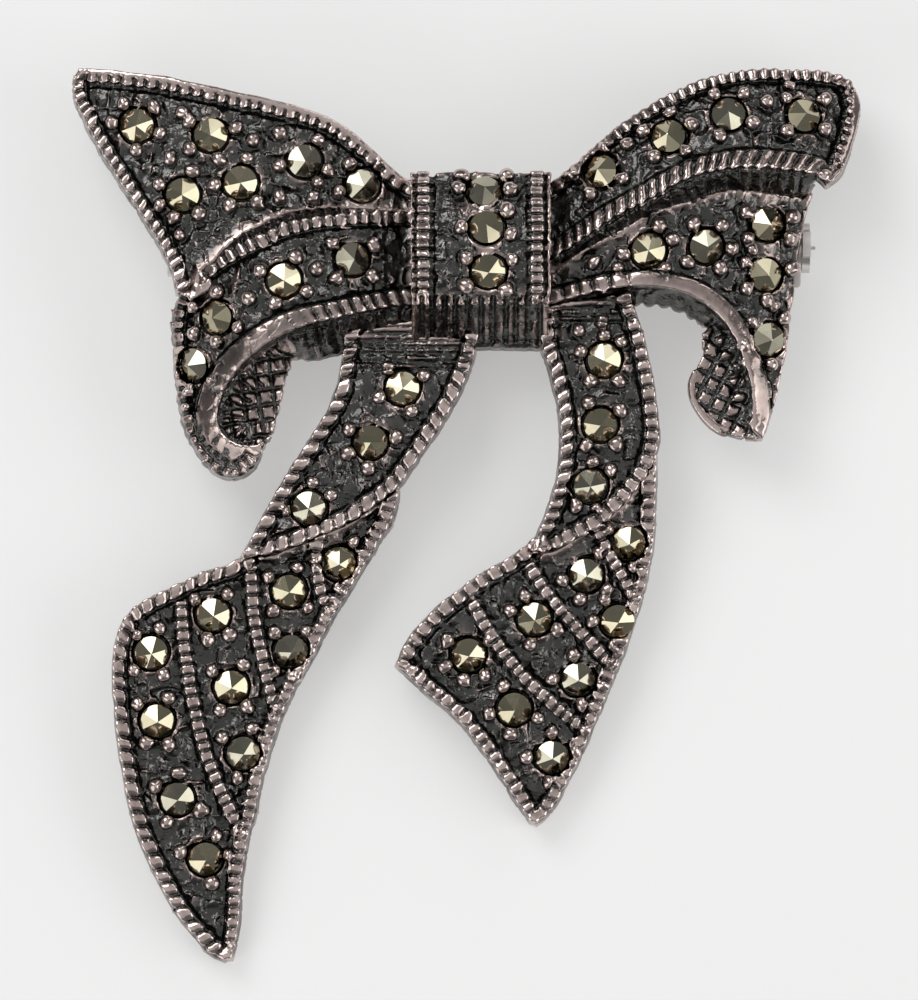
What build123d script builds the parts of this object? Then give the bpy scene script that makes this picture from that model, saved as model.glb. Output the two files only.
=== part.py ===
"""Bow brooch: a cast ribbon bow set with marcasites, with a pin stem and a rollover catch on its back.

The brooch lies on its back. +Z points out of its face, +Y up the bow, and +X to the right. The origin
is at the middle of the underside of its bounding box. All sizes are in millimetres.
"""
import os
from math import cos, radians, sin

from build123d import *

os.makedirs("parts", exist_ok=True)

# ---------------------------------------------------------------- driving dimensions
STOCK_TOP = 9.5            # above the highest point of every casting
LOOP_BACK = 3.0            # backs of the loops and the knot: room below them for the findings
TAIL_BACK = 0.0            # the tails reach the surface that the brooch lies on
LOOP_WALL = 2.0            # thickness of the loops' ribbon
TAIL_WALL = 1.6            # thickness of the tails' ribbon
CURL_WALL = 1.1            # thickness of the ribbon's inner face where it curls back

RAIL_WIDTH = 0.65          # beaded rail along a ribbon's edge
FOLD_RIM = (1.3, 0.85)     # rim of the left loop: width where it curls back, and at the knot
BAND_RIM = (1.1, 0.75)     # rim of the right loop's upper ribbon: width at its end, and at the knot
PANEL_RIM = (0.95, 0.75)   # rim of the right loop's lower ribbon: width where it curls back, and at the knot
RIM_OVERHANG = 0.25        # how far a rim's band is drawn beyond the outline that trims it
RAIL_RISE = 0.35           # height of a rail above the ribbon
RAIL_ROOT = 0.5            # depth of a rail's root in the ribbon
RIB_WIDTH = 0.5            # rib between two rows of stones
SKIRT_WALL = 1.3           # depth of the sloping grooved wall under a rail
DEEP_SKIRT_WALL = 1.8      # the same, where the right tail comes out from under it
FOOT_SINK = 0.1            # the foot of a wall that stands on another ribbon, below its surface

STONE_RADIUS = 0.82        # marcasite, about 1.65 across
STONE_DEPTH = 0.5          # girdle cylinder, sunk in the seat
STONE_CROWN = 0.46         # height of the six-sided point
STONE_TILT = 7             # degrees that a stone leans in its seat, each to its own side
GOLDEN_ANGLE = 137.5       # degrees from one stone's turn to the next
STONE_SINK = 0.06          # top of the girdle below the ribbon's surface
POINT_RADIUS = 0.03        # blunt tip of the point
SEAT_RADIUS = 0.85         # bore round the girdle
RIM_RADIUS = 0.96          # wider ring at the mouth of the seat
RIM_DEPTH = 0.14
GRAIN_RADIUS = 0.37        # bead of metal raised beside a stone to hold it
GRAIN_RING = 1.28          # distance of a grain from the middle of its stone
GRAIN_RISE = 0.08          # middle of a grain above the ribbon's surface

PIN_AXIS_Y = 13.65         # the pin stem runs along X, behind both loops
PIN_AXIS_Z = 1.3
HINGE_X = -12.8
WIRE_RADIUS = 0.4
WIRE_END_X = 14.0          # end of the wire's full diameter, where the point begins
POINT_END_X = 17.6
POINT_END_RADIUS = 0.08
EYE_RADIUS = 0.85
EYE_WIDTH = 1.2
RIVET_RADIUS = 0.35
RIVET_CLEARANCE = 0.05
RIVET_HEAD_RADIUS = 0.6
RIVET_HEAD_HEIGHT = 0.25
EAR_WALL = 0.5
EAR_GAP = 0.06             # side play of the eye between the ears
EAR_WIDTH = 1.7
EAR_FOOT_Z = 0.45          # free end of the ears, which is round
EAR_ROUND = 0.8
HINGE_PAD = (4.4, 3.2)
PAD_TOP_Z = 4.2            # the pads are let into the castings' backs and soldered

CATCH_START_X = 15.7
CATCH_END_X = 17.3
CHEEK_WALL = 0.4
CHEEK_RADIUS = 1.25
TUBE_RADIUS = 0.85
TUBE_BORE = 0.52
CATCH_SLOT = 0.95          # way in for the wire, facing away from the bow
CATCH_PAD = (1.6, 2.4)
CATCH_PAD_X = 15.75
CATCH_PAD_Z = 2.6
CATCH_PAD_TOP_Z = 3.5
SLEEVE_CLEARANCE = 0.05
SLEEVE_RADIUS = 1.2
TAB_REACH = 2.0
TAB_WALL = 0.45


# ---------------------------------------------------------------- ribbon surfaces
def dome(along, middle, top, fall_below, fall_above):
    """A crest of height top at middle, with its own fall on each side."""
    fall = fall_below if along < middle else fall_above
    return top - fall * (along - middle) ** 2


def knot_height(x, y):
    return dome(y, 12.4, 8.0, 0.11, 0.08)


def fold_height(x, y):
    return dome(x, -9.3, 7.0, 0.086, 0.034) + dome(y, 8.5, 0, 0.03, 0)


def wing_height(x, y):
    return dome(x, -12, 5.9, 0.012, 0.013)


def band_height(x, y):
    lower_rim_y = dome(x, 13.5, 17.3, 0.05, 0.03)
    return dome(x, 13, 7.2, 0.018, 0.03) - 0.3 * (y - lower_rim_y)


def panel_height(x, y):
    return dome(x, 9.5, 6.0, 0.03, 0.033) + dome(y, 9, 0, 0.02, 0)


def tail_height(x, y):
    return 4.65 - 0.04 * (9 - y)


def left_end_height(x, y):
    return 3.5 + 0.1 * (y + 2) - 0.06 * (x + 13)


def right_end_height(x, y):
    return 3.7 + 0.12 * y - 0.05 * (x - 3)


def left_curl_height(x, y):
    return 4.3 - 0.2 * (x + 12)


def right_curl_height(x, y):
    return 4.0 + 0.1 * (x - 13)


# ---------------------------------------------------------------- outlines, seen from the front
# A run of two points is a straight edge, and a longer run is a spline.
KNOT = [
    [(-2.7, 16.9), (4.1, 16.9)],
    [(4.1, 16.9), (4.1, 10.3)],
    [(4.1, 10.3), (-2.7, 10.3)],
    [(-2.7, 10.3), (-2.7, 16.9)],
]
FOLD = [
    [(-2.1, 15.1), (-5.8, 14.9), (-8.8, 14.4), (-11.7, 13.1), (-13.8, 11.7), (-14.6, 10.4), (-14.7, 7.9),
     (-14.4, 5.2), (-13.6, 3.2), (-12.1, 1.9), (-11.3, 1.9), (-10.5, 2.5), (-10.2, 3.4)],
    [(-10.2, 3.4), (-11.2, 3.4), (-11.9, 3.7), (-12.4, 4.5), (-12.3, 5.5), (-11.8, 6.5), (-10.9, 7.5),
     (-9.7, 8.4), (-8.5, 9), (-7.1, 9.4), (-3.8, 10.2), (-2.1, 10.4)],
    [(-2.1, 10.4), (-2.1, 15.1)],
]
WING = [
    [(-2.1, 16.5), (-3.1, 16.8), (-4.7, 18.2), (-6.8, 19.7), (-9.3, 20.5), (-12.4, 21.2), (-15.2, 21.8),
     (-17.3, 22.1), (-19.4, 22.3)],
    [(-19.4, 22.3), (-19.7, 22)],
    [(-19.7, 22), (-19.6, 20.6), (-19, 19.3), (-17.1, 16.1), (-15.3, 13.3), (-14.5, 11.1)],
    [(-14.5, 11.1), (-13.8, 10.7)],
    [(-13.8, 10.7), (-11.3, 12.1), (-8.6, 13.2), (-5.8, 13.7), (-2.1, 13.8)],
    [(-2.1, 13.8), (-2.1, 16.5)],
]
BAND = [
    [(3.4, 16.4), (4.3, 16.7), (5.3, 17.5), (7.7, 19.5), (10.5, 21.2), (13.2, 22.1), (16.7, 22.3),
     (18.6, 22.1), (19.3, 21.8)],
    [(19.3, 21.8), (19.65, 21), (19.6, 19.4), (19.2, 18.1), (18.7, 17), (18, 16.4)],
    [(18, 16.4), (17.1, 16.8), (15.6, 17), (13.9, 17.1), (11.9, 16.8), (10.4, 16.2), (8.9, 15.4), (7.2, 14.5),
     (5.8, 13.6), (4.7, 12.9), (3.4, 12.6)],
    [(3.4, 12.6), (3.4, 16.4)],
]
PANEL = [
    [(3.4, 14.2), (5.5, 14.6), (8.9, 16.2), (12.5, 17), (16.2, 16.9), (17.3, 16.1)],
    [(17.3, 16.1), (16.75, 14.2), (16.6, 13.2), (16.3, 10.9), (15.7, 7), (15.3, 5.2), (14.7, 3.8)],
    [(14.7, 3.8), (14.25, 4.2), (14.3, 5.2), (14, 7.2), (13.2, 9.1), (11.6, 10.6), (9.4, 11.2), (7, 11.1),
     (5, 10.6), (3.4, 10.3)],
    [(3.4, 10.3), (3.4, 14.2)],
]
LEFT_TAIL = [
    [(-6.1, 9.8), (-6.4, 6.8), (-6.7, 5.8), (-8.1, 3.4), (-9.6, 1), (-11, -1.6), (-11.4, -2.4)],
    [(-11.4, -2.4), (-10.2, -2.1), (-8.3, -1.5), (-6, -0.5), (-3.7, 1.1), (-2.5, 2.6), (-1.4, 4.3),
     (-0.3, 6.2), (0.5, 8.4), (0.6, 9.8)],
    [(0.6, 9.8), (-6.1, 9.8)],
]
LEFT_END = [
    [(-12.1, -22.3), (-12.8, -21.9), (-13.9, -20.8), (-15, -19.2), (-16, -17.2), (-16.7, -15.4),
     (-17.3, -12.6), (-17.6, -10.4), (-17.75, -8.1), (-17.6, -6.3), (-17.1, -5.1), (-16.2, -4.3),
     (-14.8, -3.6), (-13.3, -2.9), (-11.6, -2.3), (-10.4, -1.4), (-8.3, -0.6), (-6.2, 0.5), (-3.5, 2)],
    [(-3.5, 2), (-3.6, 0.2), (-4.8, -2), (-6.8, -5.3), (-8.3, -8.1), (-9.3, -10.1), (-10.1, -12.6),
     (-10.7, -15.1), (-11.2, -17.5), (-11.5, -21), (-11.8, -22.2)],
    [(-11.8, -22.2), (-12.1, -22.3)],
]
RIGHT_TAIL = [
    [(3.9, 10.35), (3.8, 8.3), (4.2, 7.1), (4.7, 4.2), (4.5, 1.7), (3.7, -0.7), (3.2, -1.8)],
    [(3.2, -1.8), (4.1, -1.9), (5.6, -1.2), (6.7, -0.6), (7.6, 0.2), (9, 1.9), (9.6, 3.6), (9.5, 5.8),
     (8.9, 8.8), (8.2, 11)],
    [(8.2, 11), (3.9, 10.35)],
]
RIGHT_END = [
    [(-3.5, -7.5), (-3.1, -6.5), (-1.9, -5), (-0.6, -3.9), (0.8, -2.9), (2.3, -2), (3.9, -0.8), (5.4, 0),
     (6.7, 1), (7.9, 2.2), (8.9, 3.3), (9.5, 3)],
    [(9.5, 3), (9.5, 1.1), (9.4, -0.8), (9, -3.5), (8.4, -5.5), (6.9, -9.3), (5.1, -13.3), (3.9, -15.1),
     (3.5, -15.4)],
    [(3.5, -15.4), (3.2, -15.3)],
    [(3.2, -15.3), (2.1, -13.7), (0.8, -11.7), (-0.9, -9.8), (-2.7, -8.3), (-3.5, -7.5)],
]
LEFT_CURL = [
    [(-9.6, 9.1), (-11.4, 7.7), (-12.3, 6.7), (-12.9, 5.5), (-12.9, 4.3), (-12.2, 3.1), (-11.2, 2.8),
     (-10.3, 3.2), (-9.8, 4), (-9.5, 5), (-9, 7), (-8.6, 8), (-8.6, 9)],
    [(-8.6, 9), (-9.6, 9.1)],
]
RIGHT_CURL = [
    [(13.3, 10), (11.9, 9), (11.9, 8.3), (11.2, 6.7), (11.5, 5.3), (12.4, 4.3), (13.5, 3.8), (14.7, 3.8)],
    [(14.7, 3.8), (14.9, 5.2), (14.7, 7.2), (14.1, 9), (13.3, 10)],
]

# ribs along the middle of a ribbon, each a list of points
KNOT_RIBS = [
    [(-2.15, 16.9), (-2.15, 10.3)],
    [(3.5, 16.9), (3.5, 10.3)],
]
LEFT_END_RIBS = [
    [(-14.3, -4.4), (-14.2, -6), (-13.7, -9.3), (-12.9, -12.4), (-11, -16.2)],
    [(-10.8, -2.6), (-10.5, -6), (-9.4, -10)],
    [(-7.4, -1), (-7.5, -2.9), (-6.8, -5)],
]
RIGHT_END_RIBS = [
    [(0.1, -4.1), (1.1, -5.8), (2.8, -8), (6.2, -10.9)],
    [(3.1, -2.5), (4.1, -4), (5.9, -6), (7.6, -7.8)],
    [(6.5, -0.5), (6.95, -1.5), (7.5, -2.5), (8.7, -4.6)],
]

# Stones: x, y and the directions in degrees of the grains that hold the stone.
KNOT_STONES = [
    (0.9, 16, (30, 150, 180, 355)),
    (1, 14.1, (35, 185, 340)),
    (1.1, 11.85, (25, 150, 210, 315)),
]
FOLD_STONES = [
    (-5.7, 12.6, (35, 145, 230, 320)),
    (-9.1, 11.5, (65, 160, 250, 335)),
    (-12.5, 9.7, (85, 150, 215, 275, 335)),
    (-13.7, 7.4, (265, 325)),
]
WING_STONES = [
    (-16.5, 19.4, (45, 120, 175, 270, 340)),
    (-12.8, 18.9, (15, 150, 215, 290)),
    (-8.1, 17.6, (60, 190, 300, 335)),
    (-11.3, 16.5, (75, 185, 245, 310)),
    (-14.2, 15.9, (65, 155, 205, 250, 310)),
    (-5.2, 16.4, (60, 120, 195)),
]
BAND_STONES = [
    (6.7, 17.1, (75, 190, 250, 335)),
    (10.1, 18.8, (25, 85, 170, 240, 315)),
    (13.1, 19.9, (55, 125, 250, 335)),
    (16.9, 19.9, (40, 140, 225, 320)),
]
PANEL_STONES = [
    (9.1, 13.1, (25, 65, 190, 310)),
    (12, 13.3, (55, 120, 220, 300, 355)),
    (15.1, 14.5, (20, 155, 215, 325)),
    (15, 11.95, (15, 150, 215, 270)),
    (15.15, 8.7, (60, 140, 195, 270)),
]
LEFT_TAIL_STONES = [
    (-3.2, 6.3, (30, 125, 200, 290)),
    (-4.8, 3.6, (10, 150, 205, 265)),
    (-7.9, 0.3, (30, 80, 185)),
]
LEFT_END_STONES = [
    (-6.4, -2.4, (55, 180, 270)),
    (-8.9, -3.8, (70, 145, 230, 320)),
    (-8.8, -6.8, (50, 135, 230, 285)),
    (-12.7, -5, (55, 140, 255, 310)),
    (-11.8, -8.6, (60, 140, 245, 310)),
    (-11.2, -11.9, (70, 145, 255)),
    (-15.8, -6.9, (70, 130, 225, 300)),
    (-15.5, -10.3, (65, 140, 240, 295)),
    (-14.5, -14.2, (85, 150, 245, 335)),
    (-13.1, -17.2, (10, 65, 165, 285)),
]
RIGHT_TAIL_STONES = [
    (6.9, 7.7, (50, 90, 160, 235, 305)),
    (6.7, 4.45, (35, 120, 235, 310)),
    (6.2, 1.4, (40, 85, 235, 285)),
]
RIGHT_END_STONES = [
    (8.15, -1.4, (150, 280)),
    (6, -3, (60, 190, 255, 325)),
    (7.6, -5.3, (120, 180, 260)),
    (3.4, -5.2, (110, 160, 260, 335)),
    (5.6, -8.2, (100, 180, 280, 350)),
    (0.1, -7, (35, 145, 205, 260, 310)),
    (2.4, -9.7, (115, 190, 260, 340)),
    (4.3, -12.1, (25, 90, 180, 265)),
]
# loose grains on the ribbon between the stones
FOLD_GRAINS = [(-7.5, 12.1), (-10.8, 10.6), (-13.9, 5.4)]
WING_GRAINS = [(-14.2, 20), (-14.8, 17.7), (-14.4, 13.9), (-10.7, 18.6), (-9.4, 19), (-9.4, 15.8),
               (-7.7, 15.8)]
BAND_GRAINS = [(8.1, 18.4), (15, 20.5), (16.1, 21.4)]
PANEL_GRAINS = [(6.4, 12.5), (7.6, 12.2), (14.2, 13.2), (15.3, 10.4)]
TAIL_GRAINS = [(5.6, 9.2), (6.8, 9.6)]


# ---------------------------------------------------------------- how a casting is built
def outline(runs):
    """The closed shape that the runs go round, at the top of the stock."""
    with BuildSketch(Plane.XY.offset(STOCK_TOP)) as shape:
        with BuildLine():
            for run in runs:
                if len(run) == 2:
                    Line(*run)
                else:
                    Spline(*run)
        make_face()
    return shape.sketch


def band(points, right, left):
    """A strip along a run of points; right and left are its widths on each side, at start and end."""
    with BuildLine() as centre:
        if len(points) == 2:
            Line(*points)
        else:
            Spline(*points)
    path = centre.edge()
    steps = 3 * len(points)
    sides = []
    for side, (first, last) in ((-1, right), (1, left)):
        edge_points = []
        for i in range(steps + 1):
            along = path % (i / steps)
            width = first + (last - first) * i / steps
            edge_points.append(path @ (i / steps) + Vector(-along.Y, along.X) * (side * width))
        sides.append(edge_points)
    right_edge, left_edge = sides
    with BuildSketch(Plane.XY.offset(STOCK_TOP)) as strip:
        with BuildLine():
            Spline(*right_edge)
            Line(right_edge[-1], left_edge[-1])
            Spline(*left_edge[::-1])
            Line(left_edge[0], right_edge[0])
        make_face()
    return strip.sketch


def even_band(points, half_width):
    """A band of one width, centred on a run of points."""
    return band(points, (half_width, half_width), (half_width, half_width))


def inside(shape, bands):
    """What lies inside the outline of all the bands together."""
    with BuildSketch(Plane.XY.offset(STOCK_TOP)) as rails:
        add(bands)
        add(shape, mode=Mode.INTERSECT)
    return rails.sketch


def rail_bands(shape, edges, ribs=()):
    """Bands along the curved ones of the outline's edges and along the ribs, inside the outline."""
    bands = [even_band(edge, RAIL_WIDTH) for edge in edges if len(edge) > 2]
    bands += [even_band(rib, RIB_WIDTH / 2) for rib in ribs]
    return inside(shape, bands)


def surface(shape, height, lift=0.0):
    """The ribbon's curved surface over the outline's box, as a smooth face through a grid of heights."""
    box = shape.bounding_box()
    margin = 1.0
    count = 8
    rows = []
    for row in range(count):
        y = box.min.Y - margin + (box.size.Y + 2 * margin) * row / (count - 1)
        columns = [box.min.X - margin + (box.size.X + 2 * margin) * i / (count - 1) for i in range(count)]
        rows.append([Vector(x, y, height(x, y) + lift) for x in columns])
    return Face.make_surface_from_array_of_points(rows)


def ribbon(shape, height, wall, back, lift=0.0):
    """A ribbon of one wall thickness under the curved surface, inside the outline and above its back."""
    under_surface = extrude(surface(shape, height, lift), amount=wall, dir=(0, 0, -1))
    with BuildPart() as piece:
        add(extrude(shape, amount=STOCK_TOP - back, dir=(0, 0, -1)))
        add(under_surface, mode=Mode.INTERSECT)
    return piece.part


def on_surface(places, height, lift):
    """The places, each (x, y), as points at a height above a ribbon's surface."""
    return [(x, y, height(x, y) + lift) for x, y in places]


def skirt(rail_foot, wall_foot, height, wall_depth=SKIRT_WALL):
    """The wall that slopes from a rail down to wall_foot, a list of (x, y, z), on a loop's ribbon."""
    upper = Spline(*on_surface(rail_foot, height, 0))
    lower = Spline(*wall_foot)
    slope = Face.make_surface_from_curves(upper.edge(), lower.edge())
    reach = 80
    with BuildPart() as wall:
        add(extrude(slope, amount=wall_depth, dir=(0, 0, -1)))
        with Locations((0, 0, LOOP_BACK)):
            Box(reach, reach, STOCK_TOP, align=(Align.CENTER, Align.CENTER, Align.MIN), mode=Mode.INTERSECT)
    return wall.part


def surface_plane(x, y, height, lift, turn=0.0):
    """A plane on the ribbon's surface, square to it, raised by lift and turned by turn degrees."""
    step = 0.05
    slope_x = (height(x + step, y) - height(x - step, y)) / (2 * step)
    slope_y = (height(x, y + step) - height(x, y - step)) / (2 * step)
    normal = Vector(-slope_x, -slope_y, 1).normalized()
    across = Vector(cos(radians(turn)), sin(radians(turn)), 0)
    level = Vector(x, y, height(x, y)) + normal * lift
    return Plane(origin=level, x_dir=across - normal * across.dot(normal), z_dir=normal)


def grain_places(stones, loose):
    """Where the grains stand: round each stone, and loose on the ribbon."""
    places = list(loose)
    for x, y, directions in stones:
        for direction in directions:
            angle = radians(direction)
            places.append((x + GRAIN_RING * cos(angle), y + GRAIN_RING * sin(angle)))
    return places


def seat_floor(x, y, height, number):
    """The floor of a stone's seat: it follows the ribbon, but each stone is turned and leans its own way."""
    plane = surface_plane(x, y, height, 0, GOLDEN_ANGLE * number)
    return plane.rotated((STONE_TILT, 0, 0)).offset(-STONE_SINK - STONE_DEPTH)


def set_with_seats(stock, label, seats, grain_planes, neighbours):
    """The finished casting: the stock less its neighbours, with grains and with a seat for each stone."""
    rims = [seat.offset(STONE_SINK + STONE_DEPTH - RIM_DEPTH) for seat in seats]
    upward = (Align.CENTER, Align.CENTER, Align.MIN)
    with BuildPart() as casting:
        add(stock)
        for neighbour in neighbours:
            add(neighbour, mode=Mode.SUBTRACT)
        with Locations(*grain_planes):
            Sphere(GRAIN_RADIUS)
        with Locations(*seats):
            Cylinder(SEAT_RADIUS, 2 * STONE_DEPTH + STONE_CROWN, align=upward, mode=Mode.SUBTRACT)
        with Locations(*rims):
            Cylinder(RIM_RADIUS, STONE_DEPTH, align=upward, mode=Mode.SUBTRACT)
    casting.part.label = label
    return casting


def marcasite(seat, label):
    """One stone: a round girdle, cut to a six-sided point whose faces reach the girdle."""
    top = STONE_DEPTH + STONE_CROWN
    foot_radius = (STONE_RADIUS - POINT_RADIUS * STONE_DEPTH / top) * top / STONE_CROWN
    with BuildPart() as faces:
        with BuildSketch(seat):
            RegularPolygon(foot_radius, 6, major_radius=False)
        with BuildSketch(seat.offset(top)):
            RegularPolygon(POINT_RADIUS, 6, major_radius=False)
        loft(ruled=True)
    with BuildPart() as stone:
        with Locations(seat):
            Cylinder(STONE_RADIUS, top, align=(Align.CENTER, Align.CENTER, Align.MIN))
        add(faces.part, mode=Mode.INTERSECT)
    stone.part.label = label
    return stone


def export(piece):
    export_step(piece.part, f"parts/{piece.part.label}.step")


# ---------------------------------------------------------------- castings before their seats are cut
RAIL_DEPTH = RAIL_RISE + RAIL_ROOT

knot_shape = outline(KNOT)
knot_stock = ribbon(knot_shape, knot_height, STOCK_TOP, LOOP_BACK)
knot_stock += ribbon(rail_bands(knot_shape, [], KNOT_RIBS), knot_height, RAIL_DEPTH, LOOP_BACK, RAIL_RISE)
knot_stock += skirt([(-2.7, 10.4), (0.7, 10.4), (4.1, 10.4)], [(-2.7, 8.4, 4), (0.7, 8.4, 4), (4.1, 8.4, 4)],
                    knot_height)

fold_shape = outline(FOLD)
fold_rim = band(FOLD[1], (RIM_OVERHANG, RIM_OVERHANG), FOLD_RIM)
fold_rails = inside(fold_shape, [even_band(FOLD[0], RAIL_WIDTH), fold_rim])
fold_stock = ribbon(fold_shape, fold_height, LOOP_WALL, LOOP_BACK)
fold_stock += ribbon(fold_rails, fold_height, RAIL_DEPTH, LOOP_BACK, RAIL_RISE)
fold_stock += skirt([(-2.1, 10.6), (-3.8, 10.4), (-7.1, 9.6), (-9.6, 8.6)],
                    [(-2.1, 9.1, 4.2), (-4.4, 8.9, 4.1), (-6.7, 8.1, 3.5), (-8.9, 7.9, 3.4)], fold_height)
fold_stock += skirt([(-2.1, 15), (-5.8, 14.8), (-8.8, 14.3), (-11.7, 13), (-13.3, 11.9)],
                    on_surface([(-2.1, 15.3), (-5.6, 15.3), (-8.4, 15.2), (-11.1, 14.1), (-12.8, 12.8)],
                               wing_height, -FOOT_SINK), fold_height)
fold_stock += ribbon(outline(LEFT_CURL), left_curl_height, CURL_WALL, LOOP_BACK)

wing_shape = outline(WING)
wing_stock = ribbon(wing_shape, wing_height, LOOP_WALL, LOOP_BACK)
wing_stock += ribbon(rail_bands(wing_shape, WING[:3]), wing_height, RAIL_DEPTH, LOOP_BACK, RAIL_RISE)

band_shape = outline(BAND)
band_rim = band(BAND[2], BAND_RIM, (RIM_OVERHANG, RIM_OVERHANG))
band_rails = inside(band_shape, [even_band(BAND[0], RAIL_WIDTH), even_band(BAND[1], RAIL_WIDTH), band_rim])
band_stock = ribbon(band_shape, band_height, LOOP_WALL, LOOP_BACK)
band_stock += ribbon(band_rails, band_height, RAIL_DEPTH, LOOP_BACK, RAIL_RISE)
band_stock += skirt([(17.6, 16.7), (15.6, 17.1), (13.9, 17.2), (11.9, 16.9), (10.4, 16.3), (8.9, 15.5),
                     (7.2, 14.6), (5.8, 13.7), (4.7, 13), (3.4, 12.7)],
                    on_surface([(16.9, 15.8), (15.4, 16), (13.9, 16.1), (12.3, 15.8), (10.9, 15.3),
                                (9.5, 14.9), (7.7, 13.95), (6.2, 13.15), (5, 12.45), (3.4, 12.15)],
                               panel_height, -FOOT_SINK), band_height)

panel_shape = outline(PANEL)
panel_rim = band(PANEL[2], PANEL_RIM, (RIM_OVERHANG, RIM_OVERHANG))
panel_stock = ribbon(panel_shape, panel_height, LOOP_WALL, LOOP_BACK)
panel_stock += ribbon(inside(panel_shape, [panel_rim]), panel_height, RAIL_DEPTH, LOOP_BACK, RAIL_RISE)
panel_stock += skirt([(3.4, 10.5), (5, 10.8), (7, 11.3), (9.4, 11.4), (11.7, 10.8), (13.3, 9.3)],
                     [(3.4, 9.9, 4.2), (5, 10.2, 4), (7, 10.6, 3.4), (9.4, 10.6, 3.4), (11, 10.1, 3.4),
                      (12.4, 9, 3.4)], panel_height, DEEP_SKIRT_WALL)
panel_stock += ribbon(outline(RIGHT_CURL), right_curl_height, CURL_WALL, LOOP_BACK)

left_tail_shape = outline(LEFT_TAIL)
left_tail_rails = rail_bands(left_tail_shape, LEFT_TAIL[:2])
left_tail_stock = ribbon(left_tail_shape, tail_height, TAIL_WALL, TAIL_BACK)
left_tail_stock += ribbon(left_tail_rails, tail_height, RAIL_DEPTH, TAIL_BACK, RAIL_RISE)

right_tail_shape = outline(RIGHT_TAIL)
right_tail_rails = rail_bands(right_tail_shape, RIGHT_TAIL[:2])
right_tail_stock = ribbon(right_tail_shape, tail_height, TAIL_WALL, TAIL_BACK)
right_tail_stock += ribbon(right_tail_rails, tail_height, RAIL_DEPTH, TAIL_BACK, RAIL_RISE)

left_end_shape = outline(LEFT_END)
left_end_rails = rail_bands(left_end_shape, LEFT_END, LEFT_END_RIBS)
left_end_stock = ribbon(left_end_shape, left_end_height, TAIL_WALL, TAIL_BACK)
left_end_stock += ribbon(left_end_rails, left_end_height, RAIL_DEPTH, TAIL_BACK, RAIL_RISE)

right_end_shape = outline(RIGHT_END)
right_end_rails = rail_bands(right_end_shape, RIGHT_END, RIGHT_END_RIBS)
right_end_stock = ribbon(right_end_shape, right_end_height, TAIL_WALL, TAIL_BACK)
right_end_stock += ribbon(right_end_rails, right_end_height, RAIL_DEPTH, TAIL_BACK, RAIL_RISE)

# ---------------------------------------------------------------- pads of the findings, let into the backs
upward = (Align.CENTER, Align.CENTER, Align.MIN)
with BuildPart() as hinge_pad:
    with Locations((HINGE_X, PIN_AXIS_Y, LOOP_BACK)):
        Box(*HINGE_PAD, PAD_TOP_Z - LOOP_BACK, align=upward)
with BuildPart() as catch_pad:
    with Locations((CATCH_PAD_X, PIN_AXIS_Y, CATCH_PAD_Z)):
        Box(*CATCH_PAD, CATCH_PAD_TOP_Z - CATCH_PAD_Z, align=upward)

# ---------------------------------------------------------------- finished castings and stones
CASTINGS = [
    ("knot", knot_stock, knot_height, KNOT_STONES, [], []),
    ("left_loop_front", fold_stock, fold_height, FOLD_STONES, FOLD_GRAINS, [knot_stock, hinge_pad.part]),
    ("left_loop_back", wing_stock, wing_height, WING_STONES, WING_GRAINS,
     [knot_stock, fold_stock, hinge_pad.part]),
    ("right_loop_back", band_stock, band_height, BAND_STONES, BAND_GRAINS, [knot_stock]),
    ("right_loop_front", panel_stock, panel_height, PANEL_STONES, PANEL_GRAINS,
     [knot_stock, band_stock, catch_pad.part]),
    ("left_tail", left_tail_stock, tail_height, LEFT_TAIL_STONES, [], [knot_stock, fold_stock]),
    ("right_tail", right_tail_stock, tail_height, RIGHT_TAIL_STONES, TAIL_GRAINS, [knot_stock, panel_stock]),
    ("left_tail_end", left_end_stock, left_end_height, LEFT_END_STONES, [], [left_tail_stock]),
    ("right_tail_end", right_end_stock, right_end_height, RIGHT_END_STONES, [], [right_tail_stock]),
]
stone_number = 0
for label, stock, height, stones, grains, neighbours in CASTINGS:
    grain_planes = [surface_plane(x, y, height, GRAIN_RISE) for x, y in grain_places(stones, grains)]
    seats = [seat_floor(x, y, height, stone_number + 1 + i) for i, (x, y, _) in enumerate(stones)]
    export(set_with_seats(stock, label, seats, grain_planes, neighbours))
    for seat in seats:
        stone_number += 1
        export(marcasite(seat, f"marcasite_{stone_number:02d}"))

# ---------------------------------------------------------------- hinge: base with two ears, and a rivet
ear_inner = EYE_WIDTH / 2 + EAR_GAP
ear_outer = ear_inner + EAR_WALL
rivet_plane = Plane(origin=(HINGE_X, PIN_AXIS_Y, PIN_AXIS_Z), x_dir=(1, 0, 0), z_dir=(0, 1, 0))

with BuildPart() as hinge_base:
    add(hinge_pad.part)
    for side in (-1, 1):
        with Locations((HINGE_X, PIN_AXIS_Y + side * (ear_inner + EAR_WALL / 2), EAR_FOOT_Z)):
            Box(EAR_WIDTH, EAR_WALL, LOOP_BACK - EAR_FOOT_Z, align=upward)
    fillet(hinge_base.edges().filter_by(Axis.Y).group_by(Axis.Z)[0], EAR_ROUND)
    with Locations(rivet_plane):
        Cylinder(RIVET_RADIUS, 2 * ear_outer, mode=Mode.SUBTRACT)
hinge_base.part.label = "hinge_base"
export(hinge_base)

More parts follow.
